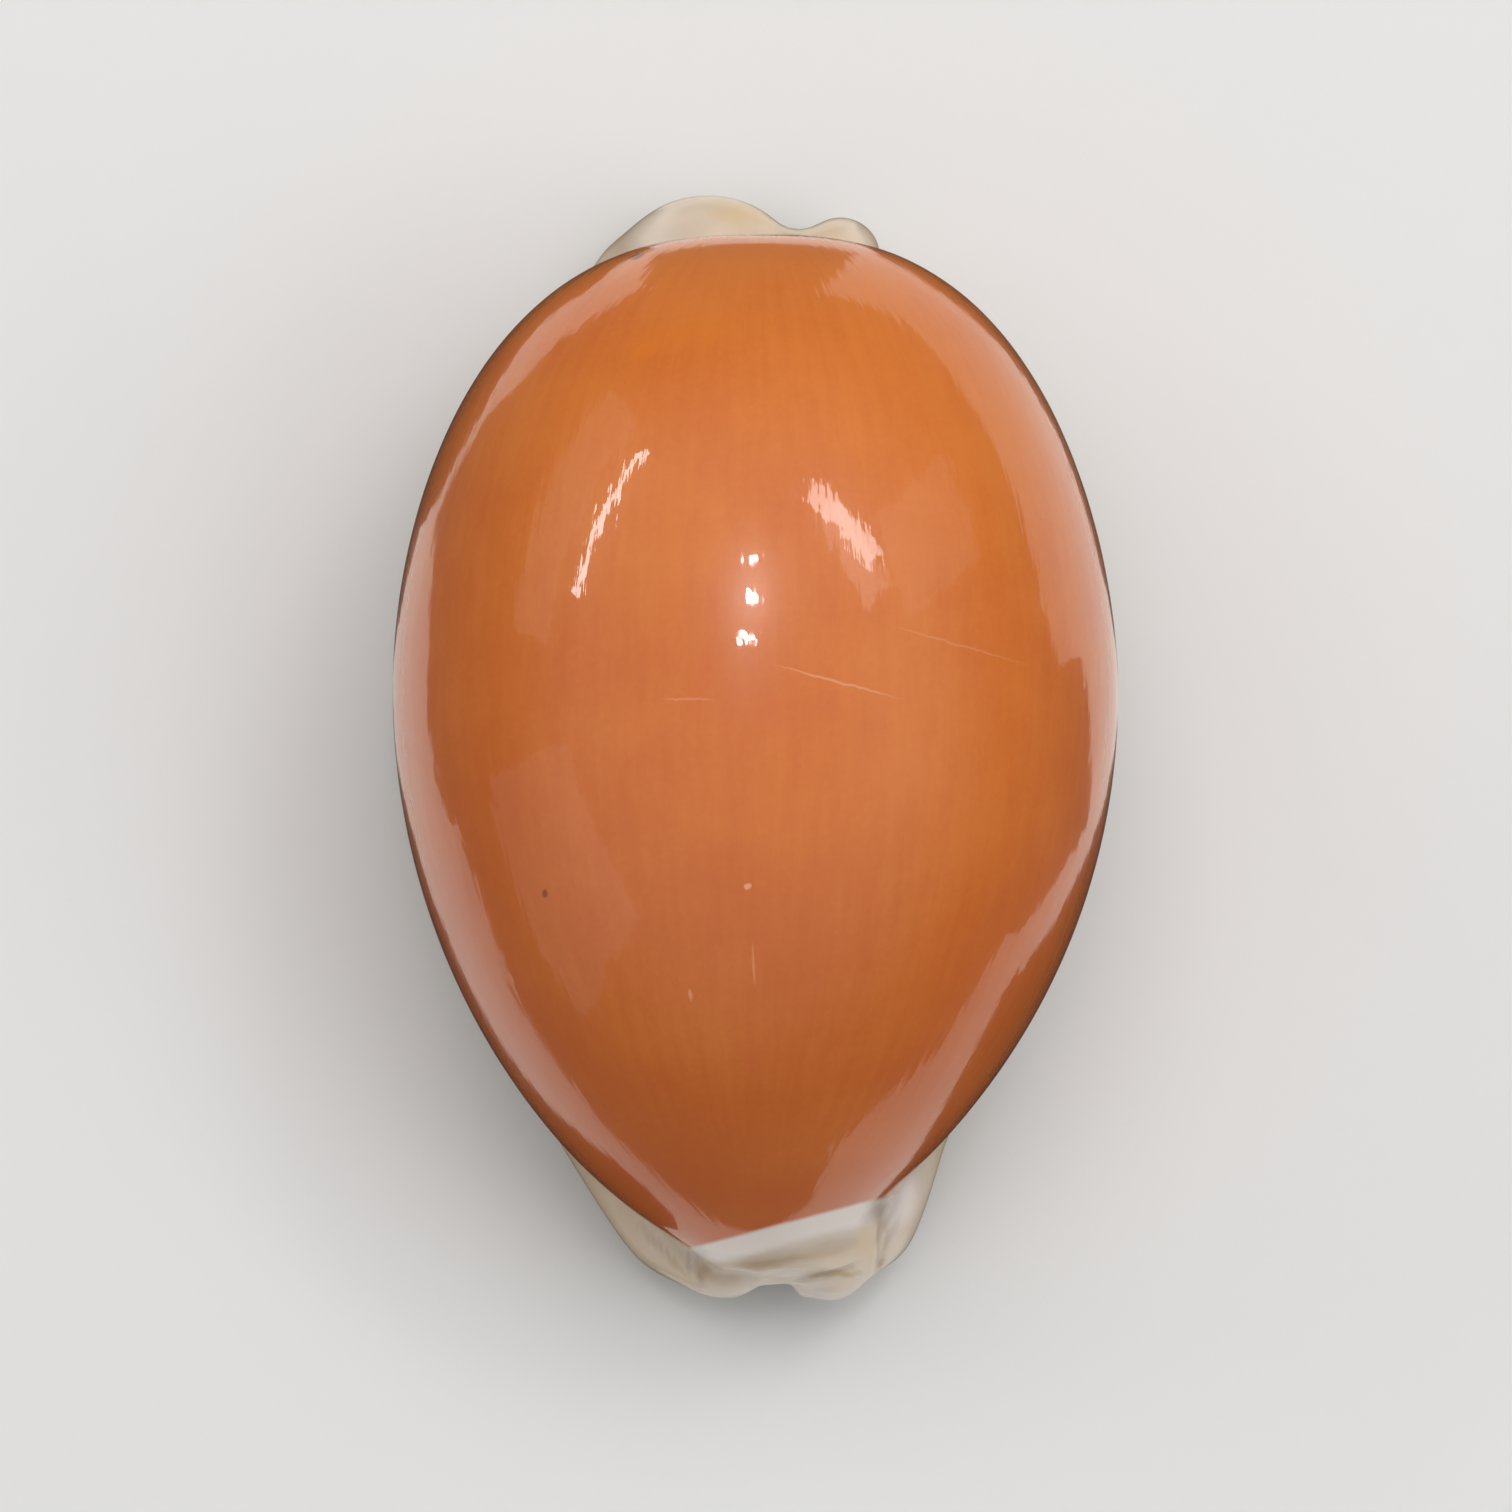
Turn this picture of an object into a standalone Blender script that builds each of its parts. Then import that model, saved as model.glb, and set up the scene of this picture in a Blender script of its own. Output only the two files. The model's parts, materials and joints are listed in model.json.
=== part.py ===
# A golden cowrie shell, empty, lying on its base with the aperture down.
# +Y is the wide posterior end, -Y the narrow anterior end, -X the outer lip's side, +Z the back.
# The shell grew as one piece, so it is one object: a wall folded round a hollow body whorl, open
# below through a long slit between two toothed lips that ends in a canal notch at either end.

import math

import bpy
import bmesh
import numpy as np

MM = 0.001  # every length below is in millimetres

# The back seen from above: half width and where it is widest
HALF_WIDTH = 31.25
WIDEST_Y = 5.0
REACH_BACK = 39.3
REACH_FRONT = 49.9
# Squareness lengthwise and across of each outline, behind WIDEST_Y and in front of it
LEFT = ((1.91, 2.53), (1.99, 1.52))
RIGHT = ((1.78, 2.67), (2.08, 1.36))
CREST = ((2.3, 1.45), (2.32, 1.14))
BELLY = ((3.2, 2.0), (2.6, 1.9))

# Levels: height of the crest, of the widest line at the middle and at the two ends, and the base
CREST_Z = 50.0
WIDEST_Z = 19.0
WIDEST_Z_BACK = 24.0
WIDEST_Z_FRONT = 15.5
BASE_Z = -0.7  # the swell of the base, which is flat at zero where it rests
BACK_ROUNDNESS = 2.12
BASE_ROUNDNESS = 3.1

# Callus rim of the base, seen from above: (y, left reach, right reach)
RIM = (
    (-46.6, 8.0, 10.0),
    (-44.6, 9.8, 12.2),
    (-42.6, 11.4, 13.5),
    (-38.0, 14.7, 15.5),
    (-33.0, 18.0, 17.2),
    (-20.0, 23.6, 23.4),
    (0.0, 27.8, 27.8),
    (20.0, 26.0, 26.0),
    (33.0, 19.5, 19.5),
    (40.0, 15.3, 12.5),
    (45.0, 11.9, 8.0),
)
RIM_Z = 5.2
RIM_HALF_THICK = 4.6
RIM_ROUNDNESS = 2.2
RIM_END_ROUND = 2.0
# Where the rim ends, seen from above: (x, anterior end, posterior end)
RIM_ENDS = (
    (-14.0, -44.4, 44.2),
    (-8.6, -45.7, 45.0),
    (-2.0, -46.6, 43.0),
    (0.8, -45.6, 42.0),
    (3.2, -44.4, 41.5),
    (6.3, -44.8, 41.5),
    (10.5, -45.4, 41.5),
    (14.0, -44.4, 40.5),
)

# Swellings at the two ends: centre, half sizes and how softly each runs into the rest
LUMPS = {
    "posterior outer lobe": ((-4.2, 41.4, 8.2), (7.7, 6.1, 6.0), 1.6),
    "posterior inner lobe": ((7.3, 42.1, 8.0), (3.5, 3.5, 5.2), 1.6),
    "posterior saddle": ((3.2, 40.7, 9.5), (4.4, 3.7, 3.2), 1.6),
    "anterior snout": ((2.9, -39.4, 10.0), (7.8, 6.6, 6.6), 4.0),
    "anterior outer tip": ((-2.6, -44.6, 6.0), (3.0, 2.4, 4.2), 1.4),
    "anterior inner knob": ((6.3, -44.4, 6.4), (3.4, 3.1, 4.6), 1.2),
}
BLEND = 1.6  # how softly the rim runs into the flanks

# Aperture: (y, middle of the slit, half width)
SLIT = (
    (-47.0, 1.3, 2.6),
    (-38.0, 0.4, 3.3),
    (-28.0, -0.8, 2.9),
    (0.0, -2.2, 2.3),
    (25.0, -1.4, 2.1),
    (38.0, 1.0, 2.0),
    (46.0, 3.4, 2.0),
)
LIP_RADIUS = 2.0
LIP_RISE = 1.1  # how far the lips stand back from the resting plane
LIP_VALLEY = 6.0  # how far from the slit the base starts to sink
LIP_VALLEY_HEIGHT = 6.0  # and the level above which nothing sinks

# Teeth on both lips
TEETH = 26
TOOTH_PITCH = 3.1
TOOTH_DEPTH = 0.9  # from a crest down into the gap beside it
# How much of that depth shows from the hollow outwards: in the slit, round the lip and on the base
SLIT_SHARES = (1.0, 1.0, 0.6)
OUTER_LIP_SHARES = (1.0, 0.8, 0.15)
INNER_LIP_SHARES = (1.0, 0.6, 0.1)
TOOTH_FADE = 3  # teeth over which the depth grows at the ends of a row

# Hollow inside, and the axis that the mesh fans out from: (y, x, z)
CAVITY_HALF_WIDTH = 29.2
CAVITY_TOP = 48.0
CAVITY_FLOOR = 6.4
CAVITY_SHORTER = 4.6
AXIS = (
    (-36.0, 1.3, 6.6),
    (-26.0, 0.2, 10.5),
    (0.0, -1.2, 17.0),
    (22.0, 0.0, 12.5),
    (34.0, 3.1, 6.6),
)
CANAL_RADIUS = 2.9

# Mesh: cells along the toothed length, past it at each end, and round the wall
END_CELLS = 9
OUTER_CELLS = 36
INNER_PER_OUTER = 3
STRAIGHT_Y = 10.0  # the sections stay upright as far as this
LAST_TILT = 45.0  # tilt of the last toothed section, in degrees from the axis
RIM_TILT = 10.5  # tilt at the canal's rim
INNER_RIM_TILT = 40.0
INNER_TILT_LEAD = 12.0  # how much further the hollow's last toothed section leans
TILT_GROWTH = 1.5
RIM_TILT_GROWTH = 0.9
LIP_CROWDING = 0.2  # how much closer the cells are at the lips
# From the base to the hollow: share of the way, rise, share of the way to the slit's wall
LIP_STEPS = ((0.05, 0.25, 0.45), (0.2, 1.3, 0.95), (0.55, 3.4, 1.0))
CANAL_NARROWING = (0.12, 0.2, 0.15)
LIP_JOIN = 6  # how closely a canal's rings follow the lips' ends
FAR = 90.0
HALVINGS = 44
SMALL = 0.01
SLOPE_STEP = 0.02
LEAST_SLOPE = 0.05


def along(keys, y):
    """The columns after the first of a table of keys, as smooth curves along y."""
    table = np.array(keys)
    at, values = table[:, 0], table[:, 1:]
    y = np.clip(np.asarray(y, float), at[0], at[-1])
    slopes = np.gradient(values, at, axis=0)
    i = np.clip(np.searchsorted(at, y, side="right") - 1, 0, len(at) - 2)
    span = at[i + 1] - at[i]
    t = (y - at[i]) / span
    result = []
    for column in range(values.shape[1]):
        a, b = values[i, column], values[i + 1, column]
        da, db = slopes[i, column] * span, slopes[i + 1, column] * span
        result.append(
            a * (2 * t**3 - 3 * t**2 + 1) + da * (t**3 - 2 * t**2 + t)
            + b * (3 * t**2 - 2 * t**3) + db * (t**3 - t**2)
        )
    return result


def taper(y, outline, shorter=0.0):
    """How full the body still is at y, 1 where it is widest and 0 at its ends."""
    t = y - WIDEST_Y
    result = []
    for (lengthwise, across), offset, reach in zip(outline, (t, -t), (REACH_BACK, REACH_FRONT)):
        share = np.clip(offset, 0, None) / (reach - shorter)
        left = 1 - share**lengthwise
        result.append(np.sign(left) * np.abs(left) ** (1 / across))
    return np.where(t > 0, result[0], result[1])


def widest_level(y):
    t = y - WIDEST_Y
    back = (WIDEST_Z_BACK - WIDEST_Z) * (np.clip(t, 0, None) / REACH_BACK) ** 2
    front = (WIDEST_Z_FRONT - WIDEST_Z) * (np.clip(-t, 0, None) / REACH_FRONT) ** 2
    return WIDEST_Z + back + front


def oval(x, z, left, right, up, down, upper, lower):
    """Distance outside an oval section with four different reaches, roughly."""
    a = np.where(x < 0, left, right)
    b = np.where(z > 0, up, down)
    power = np.where(z > 0, upper, lower)
    a_safe, b_safe = np.maximum(a, SMALL), np.maximum(b, SMALL)
    radius = (np.abs(x / a_safe) ** power + np.abs(z / b_safe) ** power) ** (1 / power)
    return np.maximum((radius - 1) * np.minimum(a_safe, b_safe), -a)


def body(p, half_width, crest, base, shorter=0.0):
    """The domed back and flanks down to the base, or the hollow in them."""
    x, y, z = p
    level = widest_level(y)
    left, right = (half_width * taper(y, outline, shorter) for outline in (LEFT, RIGHT))
    up = (crest - WIDEST_Z) * taper(y, CREST, shorter)
    down = (level - base) * taper(y, BELLY, shorter)
    return oval(x, z - level, left, right, up, down, BACK_ROUNDNESS, BASE_ROUNDNESS)


def outer_body(p):
    return body(p, HALF_WIDTH, CREST_Z, BASE_Z)


def callus_rim(p):
    """The thickened rim of the base, which stands out as flanges at the narrow end."""
    x, y, z = p
    left, right = along(RIM, y)
    section = oval(x, z - RIM_Z, left, right, *[RIM_HALF_THICK] * 2, *[RIM_ROUNDNESS] * 2)
    front, back = along(RIM_ENDS, x)
    ends = np.maximum(front - y, y - back)
    return smooth_max(section, ends, RIM_END_ROUND)


def lump(p, centre, half):
    q = [(axis - c) / h for axis, c, h in zip(p, centre, half)]
    radius = np.sqrt(q[0] ** 2 + q[1] ** 2 + q[2] ** 2)
    return (radius - 1) * min(half)


def smooth_min(a, b, width):
    share = np.clip(width - np.abs(a - b), 0, None) / width
    return np.minimum(a, b) - share**2 * width / 4


def smooth_max(a, b, width):
    return -smooth_min(-a, -b, width)


def sloped(shape, p):
    """A shape's value divided by its slope, so that it reads as a distance."""
    value = shape(p)
    slope = 0
    for axis in range(3):
        ahead = [q + SLOPE_STEP * (k == axis) for k, q in enumerate(p)]
        slope = slope + ((shape(ahead) - value) / SLOPE_STEP) ** 2
    return value / np.sqrt(slope + LEAST_SLOPE)


def outside(p):
    """Below zero inside the shell's outer form."""
    value = smooth_min(sloped(outer_body, p), sloped(callus_rim, p), BLEND)
    for centre, half, softness in LUMPS.values():
        value = smooth_min(value, sloped(lambda q: lump(q, centre, half), p), softness)
    return value


def cavity(p):
    """Below zero inside the hollow."""
    x, y, z = p
    whorl = body(p, CAVITY_HALF_WIDTH, CAVITY_TOP, CAVITY_FLOOR, CAVITY_SHORTER)
    axis_x, axis_z = along(AXIS, y)
    tube = np.sqrt((x - axis_x) ** 2 + (z - axis_z) ** 2) - CANAL_RADIUS
    return smooth_min(whorl, tube, BLEND)


def hit(shape, origin, direction):
    """Where rays from inside leave a shape."""
    near = np.zeros(direction[0].shape)
    far = np.full(direction[0].shape, FAR)
    for _ in range(HALVINGS):
        middle = (near + far) / 2
        inside = shape([o + d * middle for o, d in zip(origin, direction)]) < 0
        near, far = np.where(inside, middle, near), np.where(inside, far, middle)
    return np.stack([o + d * near for o, d in zip(origin, direction)], axis=-1)


def stations():
    """For each section: y on the base, and the tilts of its outer and inner rays."""
    toothed = TOOTH_PITCH / 2 * np.arange(-TEETH, TEETH + 1)
    share = np.clip((np.abs(toothed) - STRAIGHT_Y) / (toothed[-1] - STRAIGHT_Y), 0, 1)
    tilt = 90 - (90 - LAST_TILT) * share**TILT_GROWTH
    inner = 90 - (90 - LAST_TILT - INNER_TILT_LEAD) * share**TILT_GROWTH
    past = np.arange(1, END_CELLS + 1) / END_CELLS
    end_tilt = LAST_TILT + (RIM_TILT - LAST_TILT) * past**RIM_TILT_GROWTH
    end_inner = inner[-1] + (INNER_RIM_TILT - inner[-1]) * past
    y = np.r_[np.full(END_CELLS, toothed[0]), toothed, np.full(END_CELLS, toothed[-1])]
    outer = np.r_[end_tilt[::-1], tilt, end_tilt]
    return y, np.radians(outer), np.radians(np.r_[end_inner[::-1], inner, end_inner])


def fan(tilt, y, turns):
    """Directions of a section's rays, leaning out towards the nearer end."""
    lean = np.sign(y) * np.cos(tilt)
    return [
        np.sin(turns) * np.sin(tilt)[:, None],
        np.repeat(lean[:, None], turns.shape[1], axis=1),
        np.cos(turns) * np.sin(tilt)[:, None],
    ]


def turns_between(first, last, cells):
    """Angles round the axis from the outer lip over the back to the inner lip, closer at the lips."""
    share = np.linspace(-0.5, 0.5, cells + 1)
    share = share + LIP_CROWDING * np.sin(2 * np.pi * share) / (2 * np.pi)
    return first[:, None] + (last - first)[:, None] * (share + 0.5)[None, :]


def shell_points():
    y, tilt, inner_tilt = stations()
    axis_x, axis_z = along(AXIS, y)
    rise = axis_z - LIP_RISE
    origin_y = y - np.sign(y) * rise / np.tan(np.maximum(tilt, math.radians(LAST_TILT)))
    axis_x, axis_z = along(AXIS, origin_y)
    origin = [v[:, None] for v in (axis_x, origin_y, axis_z)]

    middle, half = along(SLIT, y)
    edge = half + LIP_RADIUS
    first = -np.pi + np.arctan2(axis_x - (middle - edge), axis_z)
    last = np.pi - np.arctan2((middle + edge) - axis_x, axis_z)
    turns = turns_between(first, last, OUTER_CELLS)
    outer = hit(outside, origin, fan(tilt, y, turns))
    inner = hit(cavity, origin, fan(inner_tilt, y, turns))
    outer[..., 2] += valley(outer)
    gaps = tooth_gaps(len(y))
    lips = [
        lip_points(outer[:, i], inner[:, i], side, gaps) for i, side in ((0, -1), (-1, 1))
    ]
    for shares, columns in ((OUTER_LIP_SHARES, (0, 1, 2)), (INNER_LIP_SHARES, (-1, -2, -3))):
        for share, column in zip(shares, columns):
            outer[:, column, 2] += gaps * share
    outer[..., 2] = np.maximum(outer[..., 2], 0)
    return outer, inner, lips


def tooth_gaps(sections):
    """How deep each section cuts between two teeth: every second one does, less so at the ends."""
    depth = np.zeros(sections)
    row = np.arange(2 * TEETH + 1)
    from_end = np.minimum(row, row[::-1]) / (2 * TOOTH_FADE)
    depth[END_CELLS : sections - END_CELLS] = (row % 2 == 0) * np.minimum(1, from_end)
    return TOOTH_DEPTH * depth


def valley(points):
    """The base sinks a little towards the aperture."""
    middle, _ = along(SLIT, points[..., 1])
    near = np.exp(-(((points[..., 0] - middle) / LIP_VALLEY) ** 2))
    low = np.clip(1 - points[..., 2] / LIP_VALLEY_HEIGHT, 0, 1)
    return LIP_RISE * near * low


def lip_points(outer, inner, side, gaps):
    """Points round one lip, from the base into the slit and up to the hollow."""
    middle, half = along(SLIT, outer[:, 1])
    wall = middle + side * half
    result = []
    for (share, rise, inward), tooth in zip(LIP_STEPS, SLIT_SHARES):
        point = outer + (inner - outer) * share
        point[:, 0] = outer[:, 0] + (wall - outer[:, 0]) * inward + side * gaps * tooth
        point[:, 2] = outer[:, 2] + rise
        result.append(point)
    return result


def canal_rows(rim, inner_rim, lips, at):
    """Rings inside a canal, from its rounded mouth to the hollow."""
    rows = []
    centre = (rim[len(rim) // 4] + rim[-1 - len(rim) // 4]) / 2
    for (share, _, _), narrowing, left, right in zip(LIP_STEPS, CANAL_NARROWING, *lips):
        row = rim + (inner_rim - rim) * share
        row[:, 0] += (centre[0] - row[:, 0]) * narrowing
        row[:, 2] += (centre[2] - row[:, 2]) * narrowing
        t = np.linspace(0, 1, len(row))[:, None]
        ends = (left[at] - row[0]) * (1 - t) ** LIP_JOIN + (right[at] - row[-1]) * t**LIP_JOIN
        rows.append(row + ends)
    return rows


def build_shell():
    outer, inner, lips = shell_points()
    mesh = bmesh.new()

    def verts(points):
        return [mesh.verts.new(tuple(p * MM)) for p in points]

    def quads(a, b):
        for i in range(len(a) - 1):
            mesh.faces.new((a[i], a[i + 1], b[i + 1], b[i]))

    outer_rows = [verts(row) for row in outer]
    inner_rows = [verts(row[::INNER_PER_OUTER]) for row in inner]
    lip_rows = [[verts(points) for points in lip] for lip in lips]
    for rows in (outer_rows, inner_rows):
        for a, b in zip(rows, rows[1:]):
            quads(a, b)
    for lip, column in zip(lip_rows, (0, -1)):
        lines = [[row[column] for row in outer_rows], *lip, [row[column] for row in inner_rows]]
        for a, b in zip(lines, lines[1:]):
            quads(a, b)
    for at in (0, -1):
        rings = [outer_rows[at]]
        for row, left, right in zip(canal_rows(outer[at], inner[at], lips, at), *lip_rows):
            rings.append([left[at], *verts(row[1:-1]), right[at]])
        for a, b in zip(rings, rings[1:]):
            quads(a, b)
        last, end = rings[-1], inner_rows[at]
        for i in range(len(end) - 1):
            start = i * INNER_PER_OUTER
            mesh.faces.new((*last[start : start + INNER_PER_OUTER + 1], end[i + 1], end[i]))
    bmesh.ops.recalc_face_normals(mesh, faces=mesh.faces)
    data = bpy.data.meshes.new("shell")
    mesh.to_mesh(data)
    mesh.free()
    data.shade_smooth()
    return data


def shell_material():
    material = bpy.data.materials.new("orange_glaze")
    material.use_nodes = True
    shader = material.node_tree.nodes["Principled BSDF"]
    shader.inputs["Base Color"].default_value = (0.56, 0.15, 0.03, 1)
    shader.inputs["Roughness"].default_value = 0.12
    shader.inputs["Metallic"].default_value = 0
    return material


def main():
    for obj in list(bpy.data.objects):
        bpy.data.objects.remove(obj)
    data = build_shell()
    data.materials.append(shell_material())
    shell = bpy.data.objects.new("shell", data)
    bpy.context.scene.collection.objects.link(shell)


main()
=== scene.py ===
import json
import math

import bmesh
import bpy
from mathutils import Matrix, Vector, noise
from mathutils.bvhtree import BVHTree

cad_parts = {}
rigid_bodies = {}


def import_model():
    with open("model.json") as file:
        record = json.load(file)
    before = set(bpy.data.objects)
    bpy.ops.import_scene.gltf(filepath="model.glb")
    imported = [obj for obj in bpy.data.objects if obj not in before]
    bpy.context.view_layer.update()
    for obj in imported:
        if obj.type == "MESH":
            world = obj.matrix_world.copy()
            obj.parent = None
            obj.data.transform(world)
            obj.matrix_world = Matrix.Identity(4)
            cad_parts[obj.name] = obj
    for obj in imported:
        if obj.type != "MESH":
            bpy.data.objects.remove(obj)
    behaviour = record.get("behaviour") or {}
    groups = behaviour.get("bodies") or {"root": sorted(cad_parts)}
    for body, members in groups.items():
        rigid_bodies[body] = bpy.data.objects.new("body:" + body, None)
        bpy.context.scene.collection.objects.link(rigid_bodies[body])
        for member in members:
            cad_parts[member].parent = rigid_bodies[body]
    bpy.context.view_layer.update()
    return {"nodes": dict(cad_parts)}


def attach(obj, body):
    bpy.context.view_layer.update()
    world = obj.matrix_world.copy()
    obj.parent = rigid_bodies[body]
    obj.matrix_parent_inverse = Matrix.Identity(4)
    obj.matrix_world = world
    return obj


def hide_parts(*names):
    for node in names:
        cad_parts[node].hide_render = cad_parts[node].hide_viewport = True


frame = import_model()
mm = 0.001  # lengths in the dictionaries are millimetres


# helpers for working in edit mode

def deselectAll():
    bpy.ops.object.select_all(action="DESELECT")


def makeActive(piece):
    deselectAll()
    piece.select_set(True)
    bpy.context.view_layer.objects.active = piece


def applyModifier(piece, kind, **settings):
    makeActive(piece)
    modifier = piece.modifiers.new(kind.lower(), kind)
    for key, value in settings.items():
        setattr(modifier, key, value)
    bpy.ops.object.modifier_apply(modifier=modifier.name)


def selectVerts(piece, test):
    mesh = bmesh.from_edit_mesh(piece.data)
    for vertex in mesh.verts:
        vertex.select = not vertex.hide and test(vertex.co / mm)
    mesh.select_flush(False)
    bmesh.update_edit_mesh(piece.data)


def pull(piece, shown, point, move, radius):
    # one sculpting move: a soft round pull at the vertex nearest to a point
    mesh = bmesh.from_edit_mesh(piece.data)
    mesh.verts.ensure_lookup_table()
    place = Vector(point) * mm
    nearest = min(shown, key=lambda index: (mesh.verts[index].co - place).length_squared)
    mesh.verts[nearest].select = True
    bmesh.update_edit_mesh(piece.data)
    bpy.ops.transform.translate(
        value=Vector(move) * mm, use_proportional_edit=True, use_proportional_connected=True,
        proportional_edit_falloff="SMOOTH", proportional_size=radius * mm)
    bpy.ops.mesh.select_all(action="DESELECT")


def stroke(piece, shown, points, move, radius, spacing=0.33):
    # pulls along a line of points, a part of the radius from each other
    for start, end in zip(points, points[1:]):
        steps = max(1, round(math.dist(start, end) / (radius * spacing)))
        for step in range(steps):
            here = Vector(start).lerp(Vector(end), step / steps)
            pull(piece, shown, here, move, radius)
    pull(piece, shown, points[-1], move, radius)


# the shell's form

shellForm = {
    "name": "cowrieShell",
    "weld": 1e-6,
    "subdivisions": 2,
    # rays spread over a half round, each a golden turn on from the last
    "depths": {"rays": 40, "turn": 2.4, "lift": 0.05, "fullGap": 0.5},
    # the middle line of the slit, which bows towards the outer lip
    "slit": {"least": -2.2, "bow": 3.3, "turnsAt": -2, "halfLength": 42},
    # teeth: gaps every pitch along the slit; reach from the slit's middle and lift of each band
    "teeth": {"pitch": 3.1, "first": -40.3, "level": 3.4, "tolerance": 0.17,
              "gaps": [((0, 4.6), 0.34), ((4.6, 6.4), 0.24), ((6.4, 8.4), 0.1)],
              "crests": [((0, 4.6), -0.12), ((4.6, 6.4), -0.06)]},
    # boxes round the two ends of the slit: lowest and highest x, y and z
    "canalEnds": {"boxes": [((-3.5, 5.5), (-41.5, -34.0), (3.5, 12.0)),
                            ((-1.5, 8.0), (33.0, 40.0), (3.5, 12.0))],
                  "passes": 5},
    # only the narrow end is sculpted, and its upper part is smoothed afterwards
    "sculptedBefore": -34,
    "smoothed": {"before": -36, "levels": (7.5, 19.0), "passes": 4},
    # sculpting at the narrow end: a line on the surface, how far each pull goes, and its reach
    "strokes": [
        # the corners where the canal meets the slit
        ([(2.3, -45.7, 5.5)], (0.8, 0, 0), 1.6),
        ([(-0.2, -46.6, 5.5)], (-0.7, 0, 0), 1.5),
        # the notch between the tip and the knob, and the knob's steep side
        ([(0.4, -46.7, 9.4), (1.8, -46.6, 9.6), (3.0, -46.3, 9.4)], (0, 0.25, 0), 1.8),
        ([(1.0, -46.2, 12.0), (3.2, -46.0, 12.0)], (0, 0.15, 0), 1.8),
        ([(4.2, -46.9, 8.6), (4.2, -46.9, 6.6)], (-0.14, -0.06, 0), 1.3),
        # the hollow of the snout below the white roll
        ([(-2.5, -44.2, 16.5), (0.5, -44.2, 17.4), (3.5, -43.9, 17.2), (6.5, -43.2, 16.0),
          (8.5, -42.4, 14.2)], (0, 0.08, -0.22), 2.4),
        # the fold under its lip, over the knob
        ([(3.7, -45.6, 11.6), (5.2, -45.4, 12.0), (6.9, -45.3, 12.0), (8.4, -45.2, 11.4)],
         (0, 0.1, -0.22), 0.9),
        ([(3.6, -45.1, 13.6), (5.4, -44.8, 14.2), (7.2, -44.7, 14.0), (8.6, -44.8, 12.6)],
         (0, -0.06, 0.06), 0.9),
        ([(4.8, -46.8, 9.4), (7.6, -46.7, 9.2)], (0, -0.02, 0.12), 1.2),
        # the left flange: a groove inside its round edge, a ridge, and the crease where it meets the snout
        ([(-11.0, -39.6, 9.3), (-10.2, -40.8, 9.4), (-8.4, -43.5, 9.8), (-7.0, -44.8, 9.8),
          (-5.8, -45.7, 9.4)], (0.03, 0.03, -0.34), 1.0),
        ([(-10.0, -40.6, 10.6), (-8.9, -41.9, 11.0), (-7.4, -43.3, 11.2)], (0, 0, 0.22), 0.9),
        ([(-5.8, -43.2, 13.0), (-5.7, -44.0, 11.6), (-5.8, -45.0, 10.2)], (0.08, 0.1, -0.26), 0.8),
        # the right flange: a ridge down the snout's side, a groove and a hollow facet
        ([(10.5, -41.2, 12.4), (10.7, -42.6, 11.4), (10.6, -43.6, 9.8), (10.2, -44.8, 8.4)],
         (0.04, 0, 0.16), 0.9),
        ([(12.1, -40.6, 9.6), (11.5, -42.0, 9.8), (11.1, -43.6, 8.8), (10.7, -45.0, 7.6)],
         (-0.04, 0.06, -0.26), 0.8),
        ([(12.2, -37.8, 9.4), (12.9, -39.2, 9.0)], (0, 0, -0.14), 1.7),
    ],
}


softEdge = (0.1, 1.3)  # an oval patch fades out between these squares of its reach


# soft patches of colour at the two pale ends, painted one by one
endTintsAndShade = {
    # painted above this level and beyond this length; the patches' edges waver
    "above": 6, "beyond": 36, "waves": 1.2, "waver": 0.25,
    # place, reach, turn in degrees, tint, strength
    "patches": [
        ((12.5, -39.0), (1.6, 2.6), -18, "rollWhite", 0.9),
        # painted shade: lilac where the white roll meets the flanges at its two ends
        ((10.2, -40.0), (1.7, 0.6), 35, "shadeLilac", 0.36),
        ((-5.0, -43.5), (1.0, 0.8), 10, "shadeLilac", 0.32),
        # painted shade: beige in the hollow of the snout below the roll
        ((-4.1, -44.8), (1.6, 1.0), 0, "shadeBeige", 0.6),
        ((1.3, -43.9), (3.4, 0.8), 8, "shadeBeige", 0.75),
        ((6.2, -43.1), (2.6, 0.7), 16, "shadeBeige", 0.35),
        ((9.6, -42.6), (1.2, 2.2), -10, "honey", 0.45),
        # painted shade: a dark line in the groove beside the right ridge
        ((10.95, -43.2), (0.28, 2.2), -13, "shadowLine", 0.32),
        # painted shadow: beige under the snout's lip, on the top of the knob
        ((6.6, -45.15), (2.7, 0.42), 0, "shadeBeige", 0.75),
        # painted shade: lilac in the crease on the right flange
        ((11.8, -41.4), (0.4, 1.4), -25, "shadeLilac", 0.3),
        # painted shade: beige in the left flange's groove, lilac in the crease where it meets the snout
        ((-7.9, -43.2), (3.7, 0.36), -48, "shadeBeige", 0.45),
        ((-5.75, -44.0), (0.22, 1.3), 0, "shadeLilac", 0.45),
        # at the rear: the honey patch is the shell's own tint; the lilac and beige patches are painted shade
        # on the sides of the lobes
        ((-0.9, 46.0), (3.4, 1.1), 0, "honey", 0.35),
        ((-5.6, 44.5), (2.8, 1.0), 20, "shadeLilac", 0.16),
        ((3.0, 45.0), (1.4, 1.6), 0, "shadeBeige", 0.3),
    ],
    # tints of the patches: beige, lilac and the dark line are painted shade; the roll's white and the honey
    # are the shell's own
    "shadeBeige": (0.48, 0.34, 0.20),
    "rollWhite": (0.86, 0.76, 0.69),
    "shadeLilac": (0.42, 0.33, 0.34),
    "honey": (0.72, 0.48, 0.22),
    "shadowLine": (0.30, 0.17, 0.09),
}


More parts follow.
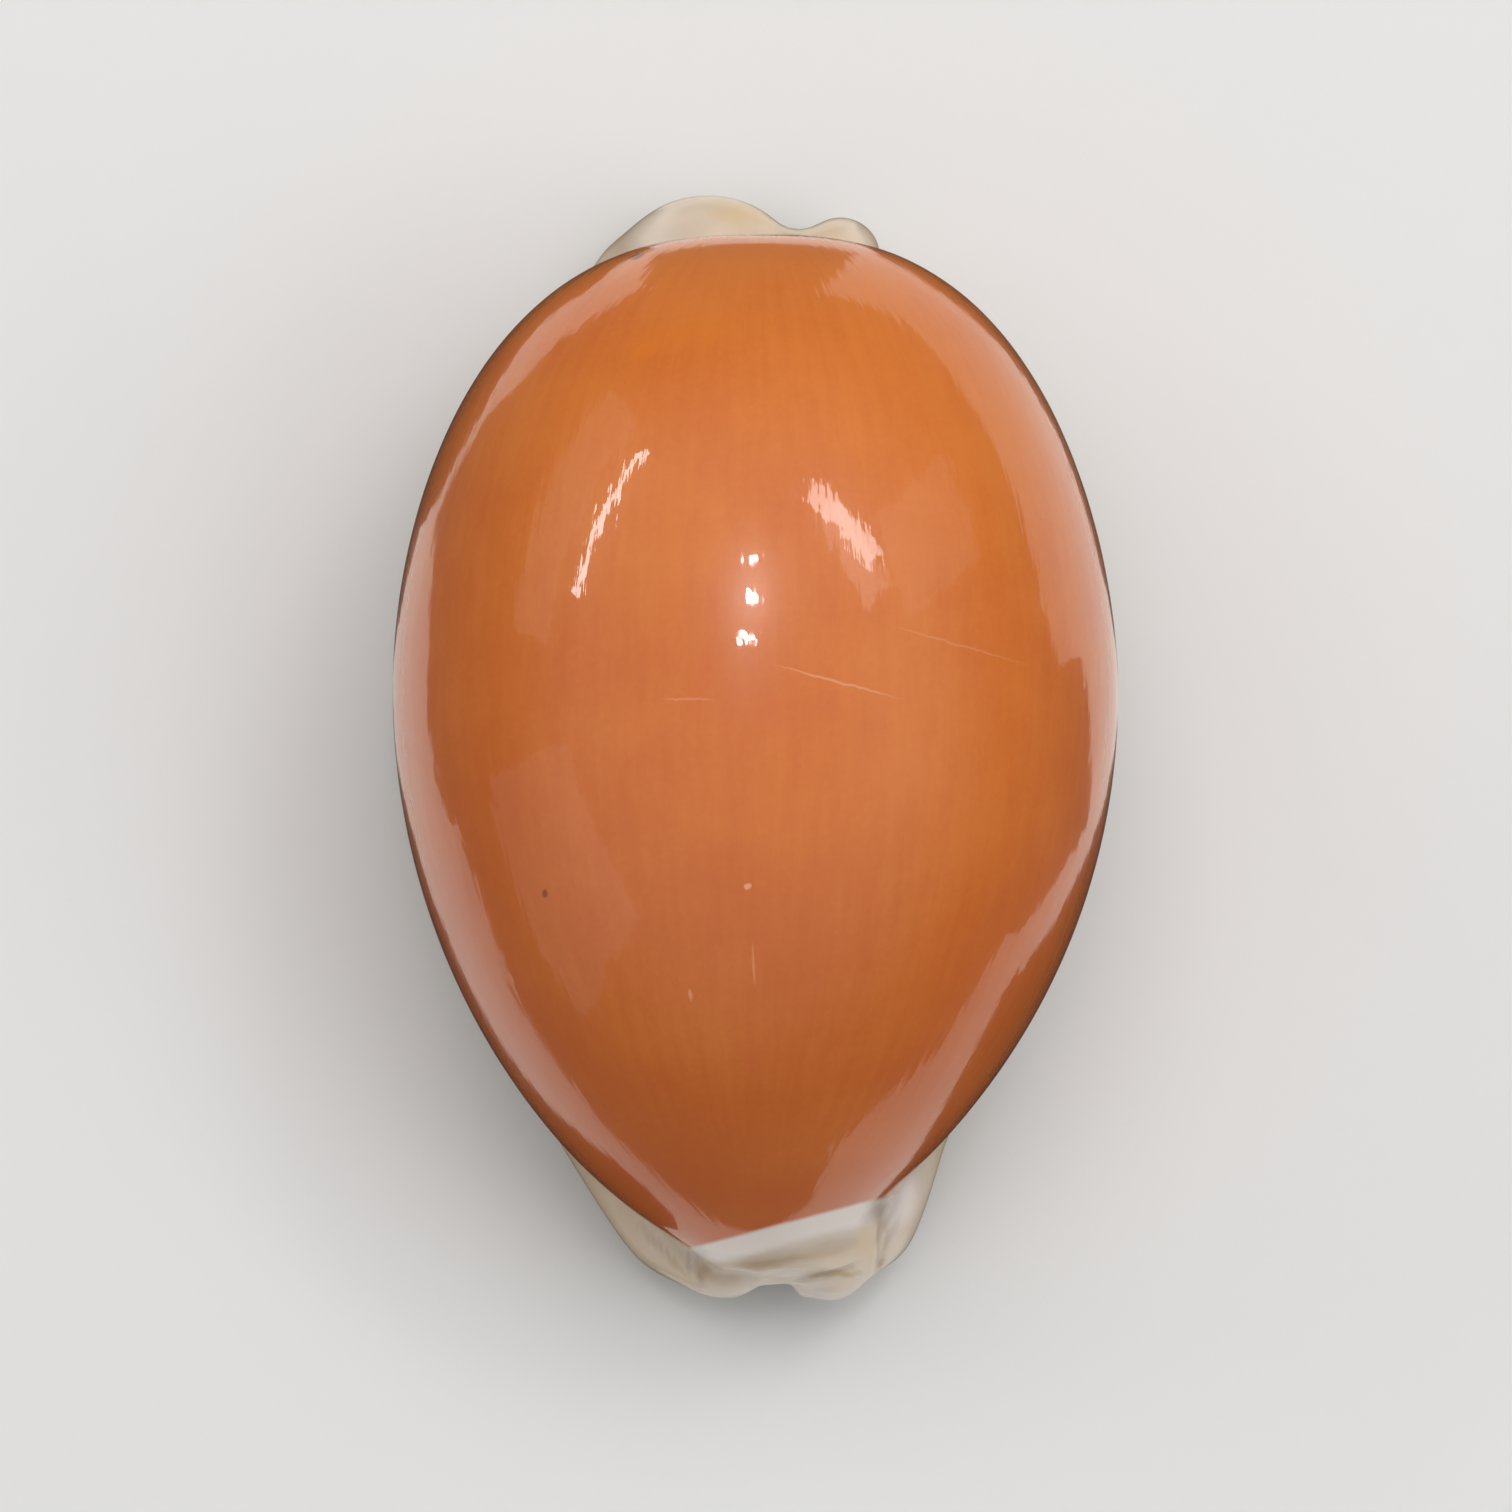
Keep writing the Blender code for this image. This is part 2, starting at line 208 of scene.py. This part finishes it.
def paintEnds(piece, look):
    # a colour attribute: the patches, tints and painted shade, laid over each other, with their cover as
    # alpha
    layer = piece.data.color_attributes.new("endTintsAndShade", "FLOAT_COLOR", "POINT")
    full, gone = softEdge
    for vertex in piece.data.vertices:
        place = vertex.co / mm
        colour, cover = Vector((0, 0, 0)), 0.0
        if place.z > look["above"] and abs(place.y) > look["beyond"]:
            shift = noise.noise(place * look["waves"]) * look["waver"]
            for (patchX, patchY), (reachX, reachY), turn, tint, strength in look["patches"]:
                away = Vector((place.x + shift - patchX, place.y + shift - patchY))
                away.rotate(Matrix.Rotation(-math.radians(turn), 2))
                far = (away.x / reachX) ** 2 + (away.y / reachY) ** 2
                fade = min(1, max(0, (gone - far) / (gone - full)))
                weight = strength * fade * fade * (3 - 2 * fade)
                colour = colour * (1 - weight) + Vector(look[tint]) * weight
                cover = cover * (1 - weight) + weight
        layer.data[vertex.index].color = (*colour, cover)


def paintDepths(piece, look):
    # a colour attribute that the glaze reads: red where the surface is open to the room,
    # green where it is hollow like a gap between teeth
    mesh = bmesh.new()
    mesh.from_mesh(piece.data)
    mesh.normal_update()
    tree = BVHTree.FromBMesh(mesh)
    directions = []
    for count in range(look["rays"]):
        turn, flat = count * look["turn"], math.sqrt((count + 0.5) / look["rays"])
        directions.append(Vector((math.cos(turn) * flat, math.sin(turn) * flat, math.sqrt(1 - flat * flat))))
    layer = piece.data.color_attributes.new("depths", "FLOAT_COLOR", "POINT")
    for vertex in mesh.verts:
        start = vertex.co + vertex.normal * look["lift"] * mm
        turned = vertex.normal.to_track_quat("Z", "Y").to_matrix()
        open_ = sum(tree.ray_cast(start, turned @ way)[0] is None for way in directions)
        around = [edge.other_vert(vertex).co for edge in vertex.link_edges]
        hollow = (sum(around, Vector()) / len(around) - vertex.co).dot(vertex.normal) / mm
        gap = min(1, max(0, hollow) / look["fullGap"])
        layer.data[vertex.index].color = (open_ / len(directions), gap, 0, 1)
    mesh.free()


def slitMiddle(y, slit):
    return slit["least"] + slit["bow"] * (abs(y - slit["turnsAt"]) / slit["halfLength"]) ** 2


def deepenTeeth(piece, teeth, slit):
    for bands, shift in ((teeth["gaps"], 0.0), (teeth["crests"], 0.5)):
        for (near, far), lift in bands:
            def inBand(place):
                turn = (place.y - teeth["first"]) / teeth["pitch"] + shift
                return (abs(turn - round(turn)) < teeth["tolerance"] and place.z < teeth["level"]
                        and abs(place.y) < -teeth["first"] - teeth["pitch"] / 2
                        and near <= abs(place.x - slitMiddle(place.y, slit)) < far)
            selectVerts(piece, inBand)
            bpy.ops.transform.translate(value=(0, 0, lift * mm))


def softenCanals(piece, ends):
    for box in ends["boxes"]:
        selectVerts(piece, lambda place: all(low < at < high for at, (low, high) in zip(place, box)))
        bpy.ops.mesh.vertices_smooth(factor=0.5, repeat=ends["passes"])


def makeShell(form):
    node = frame["nodes"]["shell"]
    makeActive(node)
    bpy.ops.object.duplicate()
    piece = bpy.context.view_layer.objects.active
    bpy.ops.object.parent_clear(type="CLEAR_KEEP_TRANSFORM")
    piece.name = piece.data.name = form["name"]
    for key in list(piece.keys()):
        del piece[key]
    bpy.ops.object.mode_set(mode="EDIT")
    bpy.ops.mesh.select_all(action="SELECT")
    bpy.ops.mesh.remove_doubles(threshold=form["weld"])
    bpy.ops.mesh.tris_convert_to_quads(
        face_threshold=math.pi, shape_threshold=math.pi, topology_influence=2.0)
    bpy.ops.mesh.faces_shade_smooth()
    bpy.ops.mesh.select_mode(type="VERT")
    deepenTeeth(piece, form["teeth"], form["slit"])
    softenCanals(piece, form["canalEnds"])
    bpy.ops.object.mode_set(mode="OBJECT")
    paintDepths(piece, form["depths"])
    print("shell welded", len(piece.data.polygons))
    applyModifier(piece, "SUBSURF", levels=form["subdivisions"], render_levels=form["subdivisions"])
    makeActive(piece)
    bpy.ops.object.mode_set(mode="EDIT")
    selectVerts(piece, lambda place: place.y > form["sculptedBefore"])
    bpy.ops.mesh.hide(unselected=False)
    mesh = bmesh.from_edit_mesh(piece.data)
    shown = [vertex.index for vertex in mesh.verts if not vertex.hide]
    for points, move, radius in form["strokes"]:
        stroke(piece, shown, points, move, radius)
    smoothed = form["smoothed"]
    low, high = smoothed["levels"]
    selectVerts(piece, lambda place: place.y < smoothed["before"] and low < place.z < high)
    bpy.ops.mesh.vertices_smooth(factor=0.5, repeat=smoothed["passes"])
    bpy.ops.mesh.reveal(select=False)
    bpy.ops.object.mode_set(mode="OBJECT")
    paintEnds(piece, endTintsAndShade)
    print("shell finished", len(piece.data.polygons))
    return piece


# shader maths as Python expressions

class Field:
    def __init__(self, graph, socket):
        self.graph, self.socket = graph, socket

    def math(self, operation, *others):
        return self.graph.math(operation, self, *others)

    def __add__(self, other):
        return self.math("ADD", other)

    def __sub__(self, other):
        return self.math("SUBTRACT", other)

    def __rsub__(self, other):
        return self.graph.math("SUBTRACT", other, self)

    def __mul__(self, other):
        return self.math("MULTIPLY", other)

    def __pow__(self, other):
        return self.math("POWER", other)

    __radd__, __rmul__ = __add__, __mul__

    def rise(self, low, high):
        # 0 below low and 1 above high, smooth between
        settings = {"interpolation_type": "SMOOTHSTEP"}
        return self.graph.node("ShaderNodeMapRange", settings, {0: self, 1: low, 2: high})


class Graph:
    def __init__(self, tree):
        self.tree = tree
        self.shader = tree.nodes.get("Principled BSDF")

    def node(self, kind, settings=None, inputs=None, output=0):
        made = self.tree.nodes.new(kind)
        for key, value in (settings or {}).items():
            setattr(made, key, value)
        for key, value in (inputs or {}).items():
            self.feed(made.inputs[key], value)
        return Field(self, made.outputs[output])

    def feed(self, socket, value):
        if isinstance(value, Field):
            self.tree.links.new(value.socket, socket)
        else:
            socket.default_value = value

    def math(self, operation, *values):
        return self.node("ShaderNodeMath", {"operation": operation}, dict(enumerate(values)))

    def mix(self, mask, low, high, blend="MIX"):
        settings = {"data_type": "RGBA", "blend_type": blend}
        return self.node("ShaderNodeMix", settings, {0: mask, 6: low, 7: high}, 2)

    def vector(self, x, y, z):
        return self.node("ShaderNodeCombineXYZ", None, {0: x, 1: y, 2: z})

    def noise(self, vector, scale, detail=2.0, roughness=0.5):
        values = {"Vector": vector, "Scale": scale, "Detail": detail, "Roughness": roughness}
        return self.node("ShaderNodeTexNoise", None, values)

    def place(self):
        # the point on the piece, in millimetres
        object_ = self.node("ShaderNodeTexCoord", output="Object")
        parts = [self.node("ShaderNodeSeparateXYZ", None, {0: object_}, k) for k in range(3)]
        return [part * 1000 for part in parts]

    def dab(self, under, mark, look, x, y, mask):
        # an oval of a tint: place, reach, turn in degrees, tint, strength
        (markX, markY), (reachX, reachY), turn, tint, strength = mark
        cos, sin = math.cos(math.radians(turn)), math.sin(math.radians(turn))
        along = self.slope(x, y, cos / reachX, sin / reachX, -(markX * cos + markY * sin) / reachX)
        across = self.slope(x, y, -sin / reachY, cos / reachY, (markX * sin - markY * cos) / reachY)
        away = self.math("MULTIPLY_ADD", along, along, across * across)
        settings = {"interpolation_type": "SMOOTHSTEP"}
        values = {0: away, 1: softEdge[0], 2: softEdge[1], 3: strength, 4: 0.0}
        return self.mix(self.node("ShaderNodeMapRange", settings, values) * mask, under, look[tint])

    def slope(self, x, y, perX, perY, start):
        # an even slope over x and y, in two nodes
        return self.math("MULTIPLY_ADD", y, perY, self.math("MULTIPLY_ADD", x, perX, start))

    def set(self, **values):
        for key, value in values.items():
            self.feed(self.shader.inputs[key.replace("_", " ")], value)


# the shell's finish

shellFinish = {
    "deepOrange": (0.57, 0.120, 0.016, 1),
    "warmOrange": (0.66, 0.182, 0.028, 1),
    "cream": (0.68, 0.53, 0.37, 1),
    "white": (0.74, 0.64, 0.54, 1),
    # painted shade: the beige that darkens the snout's hollow and the shaded end patches
    "shadeBeige": (*endTintsAndShade["shadeBeige"], 1),
    "rollWhite": (*endTintsAndShade["rollWhite"], 1),
    "toothGap": (0.58, 0.13, 0.015, 1),
    "inside": (0.70, 0.62, 0.56, 1),
    "roughness": {"pale": 0.27, "orange": 0.035},
    "ior": 1.6,
    "coat": {"weight": 0.5, "ior": 1.4, "roughness": 0.27},
    # growth lines: waves per millimetre round the shell and along it, start; detail, roughness
    "axisHeight": 17, "arcRadius": 25,
    "lines": ((0.9, 0.09, 0.0), 3.0, 0.6),
    "fine": ((3.0, 0.2, 4.0), 2.0, 0.5),
    "ripples": ((0.55, 0.3, 9.0), 2.0, 0.5),
    "linesFade": (-44.0, -24.0),  # they would meet at the narrow end
    # clouds: waves per millimetre, detail, roughness
    "broad": (0.05, 3.0, 0.55),
    "grain": (1.6, 3.0, 0.6),
    "patchy": (0.35, 3.0, 0.5),
    # how far each thing turns the deep orange to the warm one
    "tone": {"broad": 0.6, "lines": 0.22, "grain": 0.14, "perY": 0.003, "perX": 0.0015, "start": 0.01,
             "range": (0.2, 0.6)},
    # the lower border of the orange: its level, how much higher it runs at the ends, and its waver
    "border": {"level": 9.5, "rear": 5.5, "rearFrom": (37.0, 42.0), "front": 2.5,
               "frontFrom": (-38.0, -28.0), "soft": (-1.6, 1.6), "patchy": 1.6, "broad": 7},
    # lines that slant across the narrow end: how far in front of the origin, waver and soft edge
    "slant": 0.262,
    "orangeFrom": (41.48, 0.05, (-0.22, 0.22)),
    "rollFrom": (43.3, 0.08, (-0.5, 0.45)),
    "hollowFrom": (46.2, 0.3, (0.0, 1.6)),
    "domeFrom": (-38.0, -36.0), "snoutAbove": (9.0, 11.0), "rollUntil": (9.0, 10.5),
    # hollowShade is how strongly the painted shade darkens the snout's hollow
    "hollowShade": 0.25, "whiteFrom": (0.35, 0.65),
    # the teeth lie low, beside the slit and between the canals
    "teethBelow": (3.0, 8.0), "teethBeside": (6.0, 10.0), "teethMiddle": 0.8, "teethUntil": (39.0, 42.0),
    "gapFrom": (0.05, 0.5), "openFrom": (0.05, 0.3),
    # height of each kind of wave in millimetres, and the share of it that stays at the narrow end
    "bump": {"lines": 0.03, "ripples": 0.045, "fine": 0.004, "least": 0.15},
    "marksAbove": (14, 16), "marksWobble": 0.5,
    # small old marks and scratches seen from above: place, reach, turn in degrees, tint, strength
    "marks": [
        ((-18.1, -12.5), (0.28, 0.42), 0, "fleckBrown", 0.75),
        ((-0.7, -11.9), (0.32, 0.3), 0, "fleckPale", 0.75),
        ((-5.6, -21.2), (0.2, 0.55), 10, "fleckPale", 0.5),
        ((-10.2, 42.2), (0.75, 0.25), 20, "fleckBrown", 0.8),
        ((-0.2, -18.6), (0.16, 2.0), 4, "fleckPale", 0.3),
        ((7.0, 5.7), (5.6, 0.13), -14.8, "fleckPale", 0.4),
        ((17.6, 8.8), (6.3, 0.10), -16.0, "fleckPale", 0.22),
        ((-5.8, 4.2), (2.4, 0.12), -1.0, "fleckPale", 0.25),
        ((-6.2, 35.6), (4.6, 1.5), 12.0, "yellowPatch", 0.22),
        ((-9.6, 34.0), (1.5, 0.8), 30.0, "yellowPatch", 0.3),
    ],
    "fleckBrown": (0.16, 0.035, 0.008, 1),
    "fleckPale": (0.80, 0.42, 0.24, 1),
    "yellowPatch": (0.72, 0.19, 0.008, 1),
}


def shellMaterial(look):
    material = bpy.data.materials.new("orangeGlaze")
    material.use_nodes = True
    graph = Graph(material.node_tree)
    x, y, z = graph.place()
    point = graph.vector(x, y, z)
    depths = graph.node("ShaderNodeAttribute", {"attribute_name": "depths"})
    openness, gap = [graph.node("ShaderNodeSeparateColor", None, {0: depths}, k) for k in range(2)]
    around = graph.math("ARCTAN2", x, z - look["axisHeight"]) * look["arcRadius"]

    def streaks(name):
        (perRound, perLength, start), detail, roughness = look[name]
        return graph.noise(graph.vector(around * perRound, y * perLength, start), 1.0, detail, roughness)

    # growth lines run lengthwise: fine, long and faint
    lines, fine, ripples = streaks("lines"), streaks("fine"), streaks("ripples")
    broad, grain, patchy = [graph.noise(point, *look[name]) for name in ("broad", "grain", "patchy")]
    behind = y.rise(*look["linesFade"])

    # the back: warmer to the rear and right, browner at the front
    push = look["tone"]
    drift = y * push["perY"] + x * push["perX"] + push["start"]
    tone = broad * push["broad"] + (lines - 0.5) * behind * push["lines"] + grain * push["grain"] + drift
    orange = graph.mix(tone.rise(*push["range"]), look["deepOrange"], look["warmOrange"])
    wobble = (lines - 0.5) * look["marksWobble"]
    markX, markY, onBack = x + wobble, y + wobble, z.rise(*look["marksAbove"])
    for mark in look["marks"]:
        orange = graph.dab(orange, mark, look, markX, markY, onBack)

    # where the orange ends: low on the flanks, higher at the ends, along a slanting line in front
    edge = look["border"]
    waver = (patchy - 0.5) * edge["patchy"] + (broad - 0.5) * edge["broad"]
    raised = y.rise(*edge["rearFrom"]) * edge["rear"] + (1 - y.rise(*edge["frontFrom"])) * edge["front"]
    flank = (z - (raised + edge["level"]) + waver).rise(*edge["soft"])
    slant = y - x * look["slant"]

    def behindLine(name):
        distance, sway, soft = look[name]
        return (slant + distance + waver * sway).rise(*soft)

    dorsum = flank * behindLine("orangeFrom")

    # the pale ends: the white roll, and painted shade in the hollow of the snout, in front of the dome, then
    # the patches of tint and painted shade
    snout = graph.mix(broad.rise(*look["whiteFrom"]), look["cream"], look["white"])
    ahead = (1 - slant.rise(*look["domeFrom"])) * z.rise(*look["snoutAbove"])
    snout = graph.mix(behindLine("hollowFrom") * ahead * look["hollowShade"], snout, look["shadeBeige"])
    roll = behindLine("rollFrom") * ahead * (1 - x.rise(*look["rollUntil"]))
    snout = graph.mix(roll, snout, look["rollWhite"])
    tintsAndShade = graph.node("ShaderNodeAttribute", {"attribute_name": "endTintsAndShade"})
    cover = graph.node("ShaderNodeAttribute", {"attribute_name": "endTintsAndShade"}, output=3)
    snout = graph.mix(1.0, graph.mix(cover, snout, (0, 0, 0, 1)), tintsAndShade, "ADD")
    colour = graph.mix(dorsum, snout, orange)

    # deep orange in the gaps between the teeth
    beside = (x + look["teethMiddle"]).math("ABSOLUTE")
    toothed = (1 - z.rise(*look["teethBelow"])) * (1 - beside.rise(*look["teethBeside"]))
    toothed = toothed * (1 - y.math("ABSOLUTE").rise(*look["teethUntil"]))
    colour = graph.mix(toothed * gap.rise(*look["gapFrom"]), colour, look["toothGap"])

    # the wall round the hollow
    colour = graph.mix(1 - openness.rise(*look["openFrom"]), colour, look["inside"])

    wave = look["bump"]
    height = lines * wave["lines"] + ripples * wave["ripples"] + fine * wave["fine"]
    height = height * (behind * (1 - wave["least"]) + wave["least"])
    bump = graph.node("ShaderNodeBump", None, {"Strength": 1.0, "Distance": 1 * mm, "Height": height})
    rough, coat = look["roughness"], look["coat"]
    graph.set(Base_Color=colour, Roughness=rough["pale"] - dorsum * (rough["pale"] - rough["orange"]),
              Normal=bump, IOR=look["ior"], Coat_Weight=coat["weight"], Coat_IOR=coat["ior"],
              Coat_Roughness=coat["roughness"])
    return material


shell = makeShell(shellForm)
shell.data.materials.clear()
shell.data.materials.append(shellMaterial(shellFinish))
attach(shell, "root")
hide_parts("shell")
print("shell placed")


# floor, light and camera

# the floor is pale all round; what the glaze mirrors low down is two pale sheets, the first with painted
# light falloff towards its outer edge, and a dark ring close to the shell that is a painted shadow of the
# shell on the floor, drawn as corners seen from above
stageLook = {
    "floor": {"half": 2500, "colour": (0.74, 0.735, 0.725, 1), "roughness": 0.8},
    "sheetRoughness": 0.7,
    "sheets": {
        # the pale sheet darkens outward: painted light falloff
        "paleSheet": {"level": 0.05, "colour": (0.86, 0.83, 0.79, 1),
                      "falloffColour": (0.70, 0.66, 0.62, 1), "falloffFrom": (50, 115), "corners": (
            (-50, 26), (-61, 19), (-69, 11), (-67, 3), (-70, -10), (-77, -18), (-87, -22), (-91, -35),
            (-90, -45), (-80, -53), (-67, -56), (-64, -64), (-56, -74), (-46, -80), (-35, -88), (-6, -87),
            (18, -90), (21, -96), (27, -112), (36, -128), (45, -150), (84, -150), (83, -99), (93, -93),
            (106, -80), (99, -61), (80, -46), (67, -29), (48, -11), (61, 2), (67, 10), (110, 12),
            (150, 30), (150, 150), (22, 150), (18, 100), (14, 65), (-14, 65), (-20, 60))},
        "rearSheet": {"level": 0.07, "colour": (0.93, 0.90, 0.86, 1), "corners": (
            (-14, 64), (-19, 77), (-26, 93), (-29, 104), (-50, 112), (-61, 101), (-62, 88), (-70, 72),
            (-66, 62), (-59, 53), (-56, 46), (-54, 38), (-50, 26), (-30, 40))},
        # painted shadow: the floor's shadow round the shell, seen only in the glaze
        "mirroredShadowRing": {"level": 0.1, "colour": (0.012, 0.008, 0.006, 1), "corners": (
            (0, -45), (-13, -50), (-14, -58), (-18, -67), (-26, -70), (-31, -64), (-32, -51), (-32, -38),
            (-35, -29), (-38, -19), (-38, -10), (-34, -2), (-32, 6), (-37, 14), (-38, 21), (-46, 27),
            (-51, 38), (-48, 46), (-40, 53), (-35, 59), (-32, 66), (-26, 66), (-18, 59), (-12, 56),
            (-11, 49.5), (11, 49.5), (16, 58), (27, 59), (32, 51), (34, 35), (37, 19), (32, 6),
            (31, 4), (36, -3), (40, -10), (45, -18), (50, -29), (56, -38), (59, -43), (50, -51),
            (35, -50), (21, -46), (12, -46))},
    },
    "sky": {"low": 0.10, "high": 0.52, "rise": (-0.02, 0.75), "colour": (0.98, 0.99, 1.0, 1)},
}


def plainMaterial(name, colour, roughness):
    material = bpy.data.materials.new(name)
    material.use_nodes = True
    graph = Graph(material.node_tree)
    graph.set(Base_Color=colour, Roughness=roughness)
    return material


# painted light: the sheet's colour dims with distance from the shell, as if less light reached it
def paintLightFalloff(graph, sheet):
    x, y, z = graph.place()
    away = (x ** 2 + y ** 2) ** 0.5
    graph.set(Base_Color=graph.mix(away.rise(*sheet["falloffFrom"]), sheet["colour"], sheet["falloffColour"]))


def onlyMirrored(thing):
    # seen in the glaze but not by the camera or the soft light
    thing.visible_camera = thing.visible_diffuse = thing.visible_shadow = False
    thing.visible_transmission = thing.visible_volume_scatter = False


def makeStage(look):
    deselectAll()
    ground = look["floor"]
    bpy.ops.mesh.primitive_plane_add(size=2 * ground["half"] * mm)
    floor = bpy.context.active_object
    floor.name = "paleFloor"
    floor.visible_glossy = False
    floor.data.materials.append(plainMaterial("palePaint", ground["colour"], ground["roughness"]))
    for name, sheet in look["sheets"].items():
        mesh = bpy.data.meshes.new(name)
        mesh.from_pydata([(x * mm, y * mm, sheet["level"] * mm) for x, y in sheet["corners"]],
                         [], [range(len(sheet["corners"]))])
        piece = bpy.data.objects.new(name, mesh)
        bpy.context.scene.collection.objects.link(piece)
        material = plainMaterial(name + "Paint", sheet["colour"], look["sheetRoughness"])
        if "falloffColour" in sheet:
            paintLightFalloff(Graph(material.node_tree), sheet)
        piece.data.materials.append(material)
        onlyMirrored(piece)


def makeSky(look):
    world = bpy.data.worlds.new("softRoom")
    world.use_nodes = True
    graph = Graph(world.node_tree)
    direction = graph.node("ShaderNodeTexCoord", output="Generated")
    up = graph.node("ShaderNodeSeparateXYZ", None, {0: direction}, 2)
    glow = up.rise(*look["rise"]) * (look["high"] - look["low"]) + look["low"]
    background = world.node_tree.nodes["Background"]
    background.inputs["Color"].default_value = look["colour"]
    graph.feed(background.inputs["Strength"], glow)
    bpy.context.scene.world = world


# at: azimuth from +Y towards +X and elevation in degrees, distance in metres; size in metres;
# brightness as radiance; mirrored says if the glaze shows it, soft says if it lights the shell
lightAim = (0, 0, 45)
lights = {
    "softRear": {"at": (10, 62, 1.1), "size": (0.9, 0.9), "brightness": 1.8, "mirrored": False},
    "softRight": {"at": (95, 48, 1.2), "size": (0.7, 0.7), "brightness": 1.2, "mirrored": False},
    "lampRear": {"at": (-2, 69, 1.0), "size": (0.02, 0.024), "brightness": 420, "round": True, "soft": False},
    "lampMiddle": {"at": (-4, 76.8, 1.0), "size": (0.04, 0.034), "brightness": 420, "round": True,
                   "soft": False},
    "lampFront": {"at": (-24, 83.6, 1.0), "size": (0.02, 0.016), "brightness": 420, "round": True,
                  "soft": False},
    "stripLeft": {"at": (-55, 33, 1.2), "size": (0.74, 0.06), "brightness": 7},
    "windowRight": {"at": (41, 50, 1.2), "size": (0.52, 0.13), "brightness": 4},
    "windowTail": {"at": (50, 53, 1.21), "size": (0.5, 0.2), "brightness": 0.8},
    "screenRight": {"at": (63, 27, 1.2), "size": (0.45, 0.75), "brightness": 0.25},
    "screenFront": {"at": (-120, 14, 1.2), "size": (0.9, 0.85), "brightness": 0.2},
    "screenLeft": {"at": (-58, 17, 1.2), "size": (1.1, 0.36), "brightness": 0.25},
}


def makeLights(plan):
    centre = Vector(lightAim) * mm
    for name, light in plan.items():
        azimuth, elevation = (math.radians(angle) for angle in light["at"][:2])
        outward = Vector((math.sin(azimuth) * math.cos(elevation),
                          math.cos(azimuth) * math.cos(elevation), math.sin(elevation)))
        deselectAll()
        bpy.ops.object.light_add(type="AREA", location=centre + outward * light["at"][2])
        lamp = bpy.context.active_object
        lamp.name = name
        lamp.rotation_euler = outward.to_track_quat("Z", "Y").to_euler()
        width, height = light["size"]
        lamp.data.shape = "ELLIPSE" if light.get("round") else "RECTANGLE"
        lamp.data.size, lamp.data.size_y = width, height
        area = width * height * (math.pi / 4 if light.get("round") else 1)
        lamp.data.energy = light["brightness"] * 4 * area  # watts
        lamp.visible_glossy = light.get("mirrored", True)
        lamp.visible_diffuse = light.get("soft", True)


cameraPlan = {"frameWidth": 129.87, "centre": (0.04, -0.69), "height": 1500, "clipEnd": 20}


def makeCamera(plan):
    # straight down, and flat as through a long lens
    x, y = plan["centre"]
    deselectAll()
    bpy.ops.object.camera_add(location=(x * mm, y * mm, plan["height"] * mm), rotation=(0, 0, 0))
    camera = bpy.context.active_object
    camera.name = "photoCamera"
    camera.data.type = "ORTHO"
    camera.data.ortho_scale = plan["frameWidth"] * mm
    camera.data.clip_end = plan["clipEnd"]
    bpy.context.scene.camera = camera


makeSky(stageLook["sky"])
makeStage(stageLook)
makeLights(lights)
makeCamera(cameraPlan)
bpy.context.scene.view_settings.view_transform = "Standard"
print("stage, lights and camera placed")
